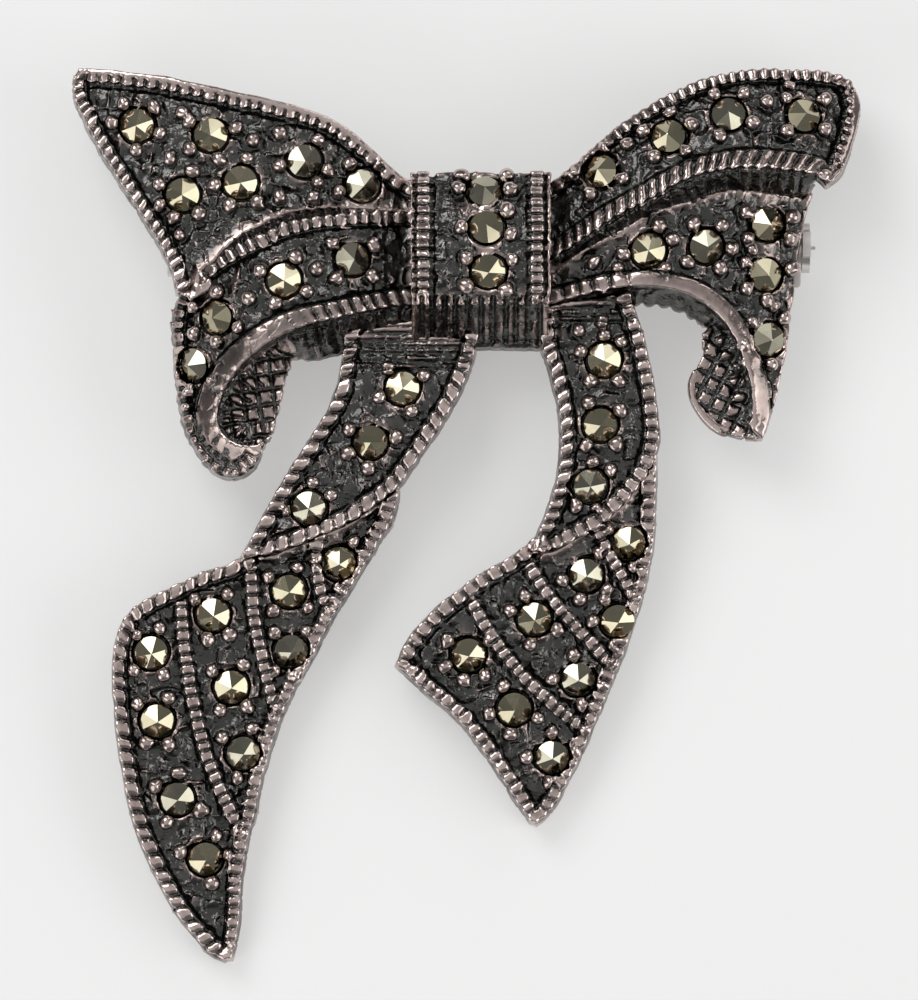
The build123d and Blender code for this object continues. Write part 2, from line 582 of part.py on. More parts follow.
with BuildPart() as hinge_rivet:
    with Locations(rivet_plane):
        Cylinder(RIVET_RADIUS, 2 * ear_outer)
    for side in (-1, 1):
        with Locations(rivet_plane.offset(side * (ear_outer + RIVET_HEAD_HEIGHT / 2))):
            Cylinder(RIVET_HEAD_RADIUS, RIVET_HEAD_HEIGHT)
    fillet(hinge_rivet.edges().group_by(Axis.Y)[0] + hinge_rivet.edges().group_by(Axis.Y)[-1], 0.15)
hinge_rivet.part.label = "hinge_rivet"
export(hinge_rivet)

# ---------------------------------------------------------------- pin stem: eye, straight wire and point
wire_plane = Plane(origin=(HINGE_X, PIN_AXIS_Y, PIN_AXIS_Z), x_dir=(0, 1, 0), z_dir=(1, 0, 0))
with BuildPart() as pin_stem:
    with Locations(wire_plane):
        Cylinder(WIRE_RADIUS, WIRE_END_X - HINGE_X, align=upward)
    with Locations(wire_plane.offset(WIRE_END_X - HINGE_X)):
        Cone(WIRE_RADIUS, POINT_END_RADIUS, POINT_END_X - WIRE_END_X, align=upward)
    with Locations(rivet_plane):
        Cylinder(EYE_RADIUS, EYE_WIDTH)
        Cylinder(RIVET_RADIUS + RIVET_CLEARANCE, EYE_WIDTH, mode=Mode.SUBTRACT)
pin_stem.part.label = "pin_stem"
export(pin_stem)

# ---------------------------------------------------------------- catch: pad, two cheeks and a slotted tube
catch_length = CATCH_END_X - CATCH_START_X
catch_plane = Plane(origin=(CATCH_START_X, PIN_AXIS_Y, PIN_AXIS_Z), x_dir=(0, 1, 0), z_dir=(1, 0, 0))
with BuildPart() as catch:
    add(catch_pad.part)
    for start in (0, catch_length - CHEEK_WALL):
        with Locations(catch_plane.offset(start)):
            Cylinder(CHEEK_RADIUS, CHEEK_WALL, align=upward)
        with Locations((CATCH_START_X + start + CHEEK_WALL / 2, PIN_AXIS_Y, PIN_AXIS_Z)):
            Box(CHEEK_WALL, CHEEK_RADIUS, CATCH_PAD_TOP_Z - PIN_AXIS_Z, align=upward)
    with Locations(catch_plane):
        Cylinder(TUBE_RADIUS, catch_length, align=upward)
        Cylinder(TUBE_BORE, catch_length, align=upward, mode=Mode.SUBTRACT)
    with Locations((CATCH_START_X + catch_length / 2, PIN_AXIS_Y, PIN_AXIS_Z)):
        Box(catch_length, CATCH_SLOT, 2 * CHEEK_RADIUS, align=(Align.CENTER, Align.CENTER, Align.MAX),
            mode=Mode.SUBTRACT)
catch.part.label = "catch"
export(catch)

# -------------------------------------------------------- lock: slotted sleeve that turns round the tube
sleeve_length = catch_length - 2 * CHEEK_WALL - 2 * SLEEVE_CLEARANCE
sleeve_start = CHEEK_WALL + SLEEVE_CLEARANCE
sleeve_middle_x = CATCH_START_X + catch_length / 2
with BuildPart() as catch_lock:
    with Locations(catch_plane.offset(sleeve_start)):
        Cylinder(SLEEVE_RADIUS, sleeve_length, align=upward)
    with Locations((sleeve_middle_x, PIN_AXIS_Y, PIN_AXIS_Z)):
        Box(sleeve_length, TAB_REACH, TAB_WALL, align=(Align.CENTER, Align.MAX, Align.CENTER))
    fillet(catch_lock.edges().group_by(Axis.Y)[0].filter_by(Axis.Z), 0.2)
    with Locations(catch_plane.offset(sleeve_start)):
        Cylinder(TUBE_RADIUS + SLEEVE_CLEARANCE, sleeve_length, align=upward, mode=Mode.SUBTRACT)
    with Locations((sleeve_middle_x, PIN_AXIS_Y, PIN_AXIS_Z)):
        Box(sleeve_length, CATCH_SLOT, 2 * SLEEVE_RADIUS, align=(Align.CENTER, Align.CENTER, Align.MAX),
            mode=Mode.SUBTRACT)
catch_lock.part.label = "catch_lock"
export(catch_lock)
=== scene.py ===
import math
from dataclasses import dataclass

import bpy
import numpy as np
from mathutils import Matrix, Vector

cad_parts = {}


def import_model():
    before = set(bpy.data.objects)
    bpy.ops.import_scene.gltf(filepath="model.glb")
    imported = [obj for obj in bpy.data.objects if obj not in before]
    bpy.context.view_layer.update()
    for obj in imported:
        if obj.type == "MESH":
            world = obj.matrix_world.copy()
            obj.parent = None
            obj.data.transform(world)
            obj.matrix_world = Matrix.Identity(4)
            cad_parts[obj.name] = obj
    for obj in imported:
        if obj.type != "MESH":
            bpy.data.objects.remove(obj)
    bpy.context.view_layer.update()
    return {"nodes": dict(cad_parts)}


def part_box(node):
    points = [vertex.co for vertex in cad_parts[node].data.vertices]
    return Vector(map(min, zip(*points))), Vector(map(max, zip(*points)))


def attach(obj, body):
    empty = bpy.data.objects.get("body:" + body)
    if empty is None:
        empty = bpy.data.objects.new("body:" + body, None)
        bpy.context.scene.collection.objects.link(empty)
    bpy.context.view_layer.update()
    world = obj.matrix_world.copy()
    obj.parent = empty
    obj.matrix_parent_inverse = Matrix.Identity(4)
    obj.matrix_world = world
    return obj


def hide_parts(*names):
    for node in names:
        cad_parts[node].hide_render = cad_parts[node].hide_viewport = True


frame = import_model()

import openvdb
from mathutils import Vector

# ---------------------------------------------------------------- sizes in millimetres, in the part's frame
MM = 0.001                 # metres in a millimetre
VOXEL = 0.055
BAND_VOXELS = 8            # width of the distance field on each side of the surface, in voxels
PAD_VOXELS = 12            # empty voxels round a casting
BLUR_VOXELS = 5    # half width of the blur that shows what stands proud
FAR = 9.0                  # distance given to the columns that a path doesn't come near
NOWHERE = -9.0             # height of the columns that no metal is in
HAND_SHIFT = 0.05          # how far hand work moves the shapes sideways
HAND_WAVELENGTH = 0.9
SHARPENING = 1.25          # how strongly what stands proud is swollen
PROUD_ENOUGH = 0.14        # what stands this proud, such as a grain, hardly gets the marks of casting
FULL_NOTCH = 0.18          # usual depth between two beads
NOTCH_WIDTH = 0.075        # of the line between two beads
HOLLOW_WIDTH = 0.2         # of the soft hollow that the line is in
LINE_SHADE = 2.4           # how dark the line between two beads is, on a rail
RIB_LINE_SHADE = 2.2       # and on a rib
BEAD_STEPS = 0.05          # how much the heights of a rail's beads differ
FULL_CUT = 0.8             # how far down from a casting's top its cuts have their full depth
CUT_REACH = 1.4            # how far down they end
SEAT_DEPTH = 0.22          # of the gap round a stone
CREASE_DEPTH = 0.14
CREASE_WAVELENGTH = 0.7
RIDGE_WAVELENGTH = 0.55
WAVES = ((0.2, 0.02), (0.4, 0.075), (1.0, 0.06))    # wavelengths and depths of the waves in the wax
HATCH_PITCH = 0.76
HATCH_DEPTH = 0.15
HATCH_LINES = ((0.85, 0.07), (0.25, 0.14))          # shares of the depth and widths that make up a line


@dataclass
class Rail:
    """A rail along a casting's edge, in millimetres: its beads, and the grooves in the wall outside it."""
    path: list
    inside: int                      # 1 where the ribbon is to the left of the path, -1 to the right
    widths: tuple = (0.65, 0.65)     # at the start and the end of the path
    pitch: float = 0.62              # of the beads
    notch: float = FULL_NOTCH        # depth between the beads
    plain: float = 0.0               # share of the notch that is left where the rail is polished
    beaded: tuple = (-0.2, -0.1)     # where on the path, from 0 to 1, the polished stretch gives way to beads
    slant: float = 0.0               # how far a notch leans along the rail
    rounding: float = 0.16           # how much lower the rail's sides are than its crest
    swell: float = 0.03              # how much prouder it is than in the CAD model
    lip: float = 0.0                 # width of the smooth lip outside the beads
    wall: float = 0.0                # how far out the grooved wall reaches
    wall_pitch: float = 0.62         # of the wall's grooves
    wall_groove: float = 0.16        # their depth
    groove_width: float = 0.11
    wall_shade: float = 1.2          # how much painted shade darkens the wall between its grooves, and a little past it


@dataclass
class Rib:
    """A beaded rib down the middle of a ribbon, in millimetres."""
    path: list
    reach: float = 0.34              # half its width
    pitch: float = 0.56              # of the beads
    notch: float = FULL_NOTCH        # depth between the beads
    step: float = 0.0                # how much each bead rises towards its far end
    rounding: float = 0.1            # how much lower its sides are than its crest
    swell: float = 0.05              # how much prouder it is than in the CAD model


@dataclass
class Hatching:
    """The crossed lines on an inner face, in millimetres and degrees."""
    middle: tuple
    radius: float
    turn: float
    top: float                       # height below which they are cut


KNOT_RIBS = [
    Rib([(-2.15, 17), (-2.15, 10.6)], 0.5, 0.48, 0.16, 0.16, swell=0.1),
    Rib([(3.5, 17), (3.5, 10.3)], 0.45, 0.5, 0.2, 0.1, swell=0.1),
]
LEFT_TAIL_RIFFLES = [Rib([(-2.9, 10.2), (-2.9, 7.2)], 3.2, 0.34, 0.12, rounding=0, swell=0)]
RIGHT_TAIL_RIFFLES = [Rib([(6, 11), (6, 9.4)], 2.4, 0.4, 0.12, rounding=0, swell=0)]
LEFT_END_RIBS = [
    Rib([(-14.3, -4.4), (-14.2, -6), (-13.7, -9.3), (-12.9, -12.4), (-11, -16.2)]),
    Rib([(-10.8, -2.6), (-10.5, -6), (-9.4, -10)]),
    Rib([(-7.4, -1), (-7.5, -2.9), (-6.8, -5)]),
]
RIGHT_END_RIBS = [
    Rib([(0.1, -4.1), (1.1, -5.8), (2.8, -8), (6.2, -10.9)]),
    Rib([(3.1, -2.5), (4.1, -4), (5.9, -6), (7.6, -7.8)]),
    Rib([(6.5, -0.5), (6.95, -1.5), (7.5, -2.5), (8.7, -4.6)]),
]
KNOT_WALL = Rail(
    [(-5, 10.75), (6.5, 10.75)],
    1, (0.2, 0.2), notch=0, rounding=0, swell=0, wall=2.3, wall_pitch=0.6, wall_groove=0.26,
    groove_width=0.11, wall_shade=0.45)
FOLD_OUTER = Rail(
    [(-2.1, 15.1), (-5.8, 14.9), (-8.8, 14.4), (-11.7, 13.1), (-13.8, 11.7), (-14.6, 10.4),
     (-14.7, 7.9), (-14.4, 5.2), (-13.6, 3.2), (-12.1, 1.9), (-11.3, 1.9), (-10.5, 2.5), (-10.2, 3.4)],
    1, pitch=0.6, wall=1.25, wall_pitch=0.6)
FOLD_RIM = Rail(
    [(-10.2, 3.4), (-11.2, 3.4), (-11.9, 3.7), (-12.4, 4.5), (-12.3, 5.5), (-11.8, 6.5), (-10.9, 7.5),
     (-9.7, 8.4), (-8.5, 9), (-7.1, 9.4), (-3.8, 10.2), (-2.1, 10.4)],
    1, (1.3, 0.85), notch=0.17, plain=0.22, beaded=(0.55, 0.75), slant=0.1, rounding=0.32, wall=1.45,
    wall_pitch=0.7, wall_groove=0.2, groove_width=0.14)
WING_TOP = Rail(
    [(-2.1, 16.5), (-3.1, 16.8), (-4.7, 18.2), (-6.8, 19.7), (-9.3, 20.5), (-12.4, 21.2), (-15.2, 21.8),
     (-17.3, 22.1), (-19.4, 22.3)],
    1, (0.75, 0.85), pitch=0.6, lip=0.28)
WING_END = Rail(
    [(-19.7, 22), (-19.6, 20.6), (-19, 19.3), (-17.1, 16.1), (-15.3, 13.3), (-14.5, 11.1)],
    1, pitch=0.55, slant=0.1)
BAND_TOP = Rail(
    [(3.4, 16.4), (4.3, 16.7), (5.3, 17.5), (7.7, 19.5), (10.5, 21.2), (13.2, 22.1), (16.7, 22.3),
     (18.6, 22.1), (19.3, 21.8)],
    -1, pitch=0.55)
BAND_END = Rail(
    [(19.3, 21.8), (19.65, 21), (19.6, 19.4), (19.2, 18.1), (18.7, 17), (17.6, 15.4)],
    -1, (0.85, 0.85), pitch=0.55, lip=0.35)
BAND_RIM = Rail(
    [(19, 16.1), (18, 16.4), (17.1, 16.8), (15.6, 17), (13.9, 17.1), (11.9, 16.8), (10.4, 16.2),
     (8.9, 15.4), (7.2, 14.5), (5.8, 13.6), (4.7, 12.9), (3.4, 12.6)],
    -1, (1.1, 0.75), notch=0.19, slant=0.22, rounding=0.24, wall=1.2, wall_pitch=0.62)
PANEL_RIM = Rail(
    [(14.7, 3.8), (14.25, 4.2), (14.3, 5.2), (14, 7.2), (13.2, 9.1), (11.6, 10.6), (9.4, 11.2),
     (7, 11.1), (5, 10.6), (3.4, 10.3)],
    -1, (0.95, 0.75), pitch=0.8, notch=0.16, plain=0.06, beaded=(0.66, 0.76), rounding=0.26, wall=1.1,
    wall_pitch=0.8, wall_groove=0.22, groove_width=0.17)
PANEL_LIP = Rail(
    [(14.9, 3.6), (14, 3.7), (12.8, 4.1), (11.8, 4.9), (11.2, 6), (11.3, 7)],
    -1, (0.45, 0.3), notch=0, rounding=0.1)
LEFT_TAIL_OUTER = Rail(
    [(-6.1, 9.8), (-6.4, 6.8), (-6.7, 5.8), (-8.1, 3.4), (-9.6, 1), (-11, -1.6), (-11.4, -2.4)],
    1, (0.75, 0.75), pitch=0.85, notch=0.24, slant=0.2)
LEFT_TAIL_INNER = Rail(
    [(-11.4, -2.4), (-10.2, -2.1), (-8.3, -1.5), (-6, -0.5), (-3.7, 1.1), (-2.5, 2.6), (-1.4, 4.3),
     (-0.3, 6.2), (0.5, 8.4), (0.6, 9.8)],
    1, (0.8, 0.7), pitch=0.8, slant=-0.12)
LEFT_END_OUTER = Rail(
    [(-12.1, -22.3), (-12.8, -21.9), (-13.9, -20.8), (-15, -19.2), (-16, -17.2), (-16.7, -15.4),
     (-17.3, -12.6), (-17.6, -10.4), (-17.75, -8.1), (-17.6, -6.3), (-17.1, -5.1), (-16.2, -4.3),
     (-14.8, -3.6), (-13.3, -2.9), (-11.6, -2.3), (-10.4, -1.4), (-8.3, -0.6), (-6.2, 0.5), (-3.5, 2)],
    -1, (0.75, 0.7), pitch=0.78, notch=0.2, slant=0.12)
LEFT_END_INNER = Rail(
    [(-3.5, 2), (-3.6, 0.2), (-4.8, -2), (-6.8, -5.3), (-8.3, -8.1), (-9.3, -10.1), (-10.1, -12.6),
     (-10.7, -15.1), (-11.2, -17.5), (-11.5, -21), (-11.8, -22.2)],
    -1, (0.6, 0.6), pitch=0.55, notch=0.14)
RIGHT_TAIL_INNER = Rail(
    [(3.9, 10.35), (3.8, 8.3), (4.2, 7.1), (4.7, 4.2), (4.5, 1.7), (3.7, -0.7), (3.2, -1.8)],
    1, (0.75, 0.75), pitch=0.66, notch=0.22, slant=0.15)
RIGHT_TAIL_OUTER = Rail(
    [(3.2, -1.8), (4.1, -1.9), (5.6, -1.2), (6.7, -0.6), (7.6, 0.2), (9, 1.9), (9.6, 3.6), (9.5, 5.8),
     (8.9, 8.8), (8.2, 11)],
    1, (0.8, 0.7), pitch=0.72)
RIGHT_END_TOP = Rail(
    [(-3.5, -7.5), (-3.1, -6.5), (-1.9, -5), (-0.6, -3.9), (0.8, -2.9), (2.3, -2), (3.9, -0.8),
     (5.4, 0), (6.7, 1), (7.9, 2.2), (8.9, 3.3), (9.5, 3)],
    -1, (0.8, 0.75), pitch=0.78, notch=0.2)
RIGHT_END_OUTER = Rail(
    [(9.5, 3), (9.5, 1.1), (9.4, -0.8), (9, -3.5), (8.4, -5.5), (6.9, -9.3), (5.1, -13.3), (3.9, -15.1),
     (3.5, -15.4)],
    -1, (0.6, 0.6), pitch=0.6, notch=0.15)
RIGHT_END_INNER = Rail(
    [(3.2, -15.3), (2.1, -13.7), (0.8, -11.7), (-0.9, -9.8), (-2.7, -8.3), (-3.5, -7.5)],
    -1, pitch=0.6, notch=0.15)
# each casting's rails, along its edges, and ribs, down its middle
CASTINGS = {
    "knot": ([KNOT_WALL], KNOT_RIBS),
    "left_loop_front": ([FOLD_OUTER, FOLD_RIM], []),
    "left_loop_back": ([WING_TOP, WING_END], []),
    "right_loop_back": ([BAND_TOP, BAND_END, BAND_RIM], []),
    "right_loop_front": ([PANEL_LIP, PANEL_RIM], []),
    "left_tail": ([LEFT_TAIL_OUTER, LEFT_TAIL_INNER], LEFT_TAIL_RIFFLES),
    "right_tail": ([RIGHT_TAIL_INNER, RIGHT_TAIL_OUTER], RIGHT_TAIL_RIFFLES),
    "left_tail_end": ([LEFT_END_OUTER, LEFT_END_INNER], LEFT_END_RIBS),
    "right_tail_end": ([RIGHT_END_TOP, RIGHT_END_OUTER, RIGHT_END_INNER], RIGHT_END_RIBS),
}
HATCHED = {
    "left_loop_front": Hatching((-10.8, 5.8), 3.2, 8, 4.75),
    "right_loop_front": Hatching((13, 6.2), 3.6, -27, 4.5),
}


# ---------------------------------------------------------------- distance fields
def solid_field(node):
    """The CAD node's signed distance in millimetres on a grid, and the grid's lowest corner in voxels."""
    mesh = frame["nodes"][node].data
    mesh.calc_loop_triangles()
    points = np.empty(len(mesh.vertices) * 3, np.float32)
    mesh.vertices.foreach_get("co", points)
    points = points.reshape(-1, 3) / MM
    triangles = np.empty(len(mesh.loop_triangles) * 3, np.int32)
    mesh.loop_triangles.foreach_get("vertices", triangles)
    grid = openvdb.FloatGrid.createLevelSetFromPolygons(
        points, triangles=triangles.reshape(-1, 3).astype(np.uint32),
        transform=openvdb.createLinearTransform(voxelSize=VOXEL), halfWidth=BAND_VOXELS)
    low = np.floor(points.min(0) / VOXEL).astype(int) - PAD_VOXELS
    high = np.ceil(points.max(0) / VOXEL).astype(int) + PAD_VOXELS
    field = np.empty(tuple(high - low), np.float32)
    grid.copyToArray(field, ijk=tuple(int(v) for v in low))
    return field, low


def soften(field):
    """Blurs the field a little along its three axes, in place."""
    for axis in range(3):
        lines = np.moveaxis(field, axis, 0)
        lines[1:-1] = 0.25 * lines[:-2] + 0.5 * lines[1:-1] + 0.25 * lines[2:]


def box_blur(field, half_width):
    """A blurred copy: the mean over a cube of the given half width in voxels, taken twice."""
    width = 2 * half_width + 1
    blurred = field.copy()
    for _ in range(2):
        for axis in range(3):
            lines = np.moveaxis(blurred, axis, 0)
            padded = np.concatenate([np.repeat(lines[:1], half_width + 1, 0), lines,
                                     np.repeat(lines[-1:], half_width, 0)])
            total = np.cumsum(padded, axis=0, dtype=np.float64)
            lines[:] = ((total[width:] - total[:-width]) / width).astype(np.float32)
    return blurred


def smooth_path(points, spacing=0.04):
    """Dense points along a smooth curve through the given ones, their directions and their arc lengths."""
    given = np.array(points, float)
    guides = np.vstack([2 * given[0] - given[1], given, 2 * given[-1] - given[-2]])
    dense = []
    for a, b, c, d in zip(guides[:-3], guides[1:-2], guides[2:-1], guides[3:]):
        count = max(2, int(np.linalg.norm(c - b) / spacing))
        t = np.linspace(0, 1, count, endpoint=False)[:, None]
        dense.append(0.5 * (2 * b + (c - a) * t + (2 * a - 5 * b + 4 * c - d) * t ** 2
                            + (3 * b - a - 3 * c + d) * t ** 3))
    dense = np.vstack(dense + [given[-1:]])
    step = np.diff(dense, axis=0)
    length = np.concatenate([[0], np.cumsum(np.hypot(*step.T))])
    direction = np.gradient(dense, axis=0)
    direction /= np.hypot(*direction.T)[:, None]
    return dense, direction, length


def path_map(points, xs, ys, reach):
    """Each column's arc length along the path and distance to the left of it, and the path's length."""
    dense, direction, length = smooth_path(points)
    along = np.zeros((xs.size, ys.size), np.float32)
    away = np.full((xs.size, ys.size), FAR, np.float32)
    left = np.full((xs.size, ys.size), FAR, np.float32)
    block = 24             # points of the path taken together
    for start in range(0, len(dense), block):
        part = slice(start, start + block)
        near = dense[part]
        ix = np.flatnonzero((xs > near[:, 0].min() - reach) & (xs < near[:, 0].max() + reach))
        iy = np.flatnonzero((ys > near[:, 1].min() - reach) & (ys < near[:, 1].max() + reach))
        if not ix.size or not iy.size:
            continue
        dx = xs[ix][:, None, None] - near[:, 0]
        dy = ys[iy][None, :, None] - near[:, 1]
        distance = np.hypot(dx, dy)
        nearest = distance.argmin(-1)[..., None]
        best = np.take_along_axis(distance, nearest, -1)[..., 0]
        forward = dx * direction[part, 0] + dy * direction[part, 1]
        forward = np.take_along_axis(forward, nearest, -1)[..., 0]
        sideways = dy * direction[part, 0] - dx * direction[part, 1]
        sideways = np.take_along_axis(sideways, nearest, -1)[..., 0]
        window = np.ix_(ix, iy)
        closer = best < away[window]
        away[window] = np.where(closer, best, away[window])
        left[window] = np.where(closer, np.copysign(best, sideways), left[window])
        along[window] = np.where(closer, length[part][nearest[..., 0]] + forward, along[window])
    return along, left, length[-1]


def ramp(value, start, end):
    """0 at start, 1 at end, smooth between."""
    t = np.clip((value - start) / (end - start), 0, 1)
    return t * t * (3 - 2 * t)


def hand_cut(along, seed):
    """Arc length with the unevenness of hand work."""
    return along + 0.05 * np.sin(1.7 * along + seed) + 0.035 * np.sin(4.3 * along + 2 * seed)


def notches(along, pitch, width):
    """1 in the notches between the beads of a rail, 0 on the beads."""
    offset = (along / pitch) % 1 - 0.5
    return np.exp(-(offset * pitch / width) ** 2)


def bead_heights(along, pitch, seed):
    """A small height of its own for each bead."""
    heights = np.random.default_rng(seed).uniform(0, BEAD_STEPS, 400)
    return heights[np.clip((along / pitch).astype(int), 0, len(heights) - 1)]


def plan_noise(shape, wavelength, seed):
    """Smooth random numbers over the plan, about -1 to 1."""
    rng = np.random.default_rng(seed)
    cells = [int(n * VOXEL / wavelength) + 4 for n in shape]
    coarse = rng.uniform(-1, 1, cells)
    at = [np.arange(n) * VOXEL / wavelength + 1 for n in shape]
    rows = [np.floor(a).astype(int) for a in at]
    part = [(a - r) for a, r in zip(at, rows)]
    part = [p * p * (3 - 2 * p) for p in part]
    px, py = part[0][:, None], part[1][None, :]
    rx, ry = rows
    return ((coarse[np.ix_(rx, ry)] * (1 - px) + coarse[np.ix_(rx + 1, ry)] * px) * (1 - py)
            + (coarse[np.ix_(rx, ry + 1)] * (1 - px) + coarse[np.ix_(rx + 1, ry + 1)] * px) * py)


def push_about(field, amount, wavelength, seed):
    """The field with its shapes shifted a little sideways, here and there, as in hand-finished wax."""
    plan = field.shape[:2]
    shift_x = plan_noise(plan, wavelength, seed) * amount / VOXEL
    shift_y = plan_noise(plan, wavelength, seed + 1) * amount / VOXEL
    x = np.clip(np.arange(plan[0])[:, None] + shift_x, 0, plan[0] - 1.001)
    y = np.clip(np.arange(plan[1])[None, :] + shift_y, 0, plan[1] - 1.001)
    i, j = x.astype(int), y.astype(int)
    tx, ty = (x - i).astype(np.float32)[..., None], (y - j).astype(np.float32)[..., None]
    return ((field[i, j] * (1 - tx) + field[i + 1, j] * tx) * (1 - ty)
            + (field[i, j + 1] * (1 - tx) + field[i + 1, j + 1] * tx) * ty)


def sharpen(field):
    """Swells what stands proud, such as the grains, and deepens what is sunk. Returns how proud it stands."""
    standing = box_blur(field, BLUR_VOXELS) - field
    field -= SHARPENING * np.clip(standing, -0.2, 0.25)
    return np.clip(standing / PROUD_ENOUGH, 0, 1)


def rail_cut(rail, xs, ys, seed):
    """How deep a rail and its wall are cut, less than 0 where they swell, and how bright its polishing makes
    them, less than 0 where painted shade darkens the wall.
    """
    along, left, length = path_map(rail.path, xs, ys, max(1.3, rail.widths[0], rail.wall) + 0.2)
    inward = np.where(left == FAR, FAR, left * rail.inside)
    share = np.clip(along / length, 0, 1)
    width = rail.widths[0] + (rail.widths[1] - rail.widths[0]) * share
    across = np.clip(2 * inward / width - 1, -1, 1)
    worked = hand_cut(along + rail.slant * across, seed)
    depth = rail.notch * (rail.plain + (1 - rail.plain) * ramp(share, *rail.beaded))
    if rail.lip:
        depth = depth * ramp(inward, rail.lip - 0.1, rail.lip + 0.05)
    line = notches(worked, rail.pitch, NOTCH_WIDTH)
    beads = 0.6 * depth * (line + notches(worked, rail.pitch, HOLLOW_WIDTH))
    beads = beads + bead_heights(worked, rail.pitch, seed) * (depth / FULL_NOTCH)
    crest = rail.rounding * (1 - np.sqrt(1 - 0.98 * across ** 2)) - rail.swell
    on_rail = (1 - ramp(inward, width - 0.02, width + 0.1)) * (1 - ramp(-inward, 0.5, 0.9))
    cut = on_rail * (beads + crest)
    polish_and_shade = on_rail * (1 - LINE_SHADE * line * np.clip(depth / FULL_NOTCH, 0, 1))
    if rail.wall:
        on_wall = ramp(-inward, 0.0, 0.12) * (1 - ramp(-inward, rail.wall - 0.25, rail.wall))
        grooves = rail.wall_groove * notches(worked, rail.wall_pitch, rail.groove_width)
        cut = cut * (1 - on_wall) + on_wall * grooves
        # painted shade: the wall and a little past it are darkened, most in its grooves
        shade = ramp(-inward, 0.0, 0.12) * (1 - ramp(-inward, rail.wall + 0.4, rail.wall + 0.6))
        polish_and_shade = polish_and_shade * (1 - on_wall) - shade * (rail.wall_shade + 3 * grooves)
    return cut, polish_and_shade


def rib_cut(rib, xs, ys, seed):
    """How deep a rib's beads are cut, less than 0 where it swells, and how polished it is.
    A rib with no swell is a stretch of grooves, dark in its lines and no brighter between them."""
    along, left, length = path_map(rib.path, xs, ys, rib.reach + 0.3)
    across = np.abs(left) / rib.reach
    worked = hand_cut(along, seed)
    slope = (worked / rib.pitch + 0.5) % 1
    line = notches(worked, rib.pitch, NOTCH_WIDTH)
    beads = rib.notch * line + rib.step * (1 - slope)
    crest = rib.rounding * np.clip(across, 0, 1.2) ** 3 - rib.swell
    on_rib = (1 - ramp(across, 0.95, 1.2)) * (1 - ramp(along, length, length + 0.1)) * ramp(along, -0.1, 0)
    brightness = 1 if rib.swell else 0
    return on_rib * (beads + crest), on_rib * (brightness - RIB_LINE_SHADE * line)


def column_tops(field, zs):
    """The height of the metal's top over the plan, spread a little past the outline."""
    solid = field < 0
    highest = field.shape[2] - 1 - solid[:, :, ::-1].argmax(2)
    tops = np.where(solid.any(2), zs[highest], NOWHERE).astype(np.float32)
    for _ in range(6):
        around = np.maximum.reduce([np.roll(tops, turn, axis) for turn in (-1, 1) for axis in (0, 1)])
        tops = np.where(tops == NOWHERE, around, tops)
    return tops


def thin_lines(shape, wavelength, seed):
    """1 along thin wandering lines over the plan, where smooth random numbers change sign, 0 elsewhere."""
    return np.clip(1 - 6 * np.abs(plan_noise(shape, wavelength, seed)), 0, 1)


def casting_marks(shape, seed):
    """How deep the waves and thin creases of hand-worked wax go, and where its thin ridges are."""
    marks = sum(size * plan_noise(shape, wavelength, seed + i) for i, (wavelength, size) in enumerate(WAVES))
    creases = thin_lines(shape, CREASE_WAVELENGTH, seed + 5)
    ridges = thin_lines(shape, RIDGE_WAVELENGTH, seed + 6)
    return marks + CREASE_DEPTH * (creases - ridges), ridges


def hatch_cut(hatching, xs, ys):
    """How deep the crossed lines of an inner face are cut, and how polished that face is."""
    angle = math.radians(hatching.turn)
    dx = xs[:, None] - hatching.middle[0]
    dy = ys[None, :] - hatching.middle[1]
    u = dx * math.cos(angle) + dy * math.sin(angle)
    v = -dx * math.sin(angle) + dy * math.cos(angle)
    lines = sum(share * np.maximum(notches(u, HATCH_PITCH, width), notches(v, HATCH_PITCH, width))
                for share, width in HATCH_LINES)
    inside = 1 - ramp(np.hypot(dx, dy), hatching.radius, hatching.radius + 0.3)
    return HATCH_DEPTH * lines * inside, inside * (1.8 - 3.4 * lines)


def seat_rings(xs, ys):
    """1 in the narrow gap round each stone, 0 elsewhere."""
    rings = np.zeros((xs.size, ys.size), np.float32)
    for name in frame["nodes"]:
        if name.startswith("marcasite"):
            low, high = [np.array(corner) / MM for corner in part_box(name)]
            centre, radius = (low + high) / 2, (high[0] - low[0] + high[1] - low[1]) / 4
            away = np.hypot(xs[:, None] - centre[0], ys[None, :] - centre[1]) - radius
            rings = np.maximum(rings, ramp(away, -0.1, 0) * (1 - ramp(away, 0.1, 0.2)))
    return rings


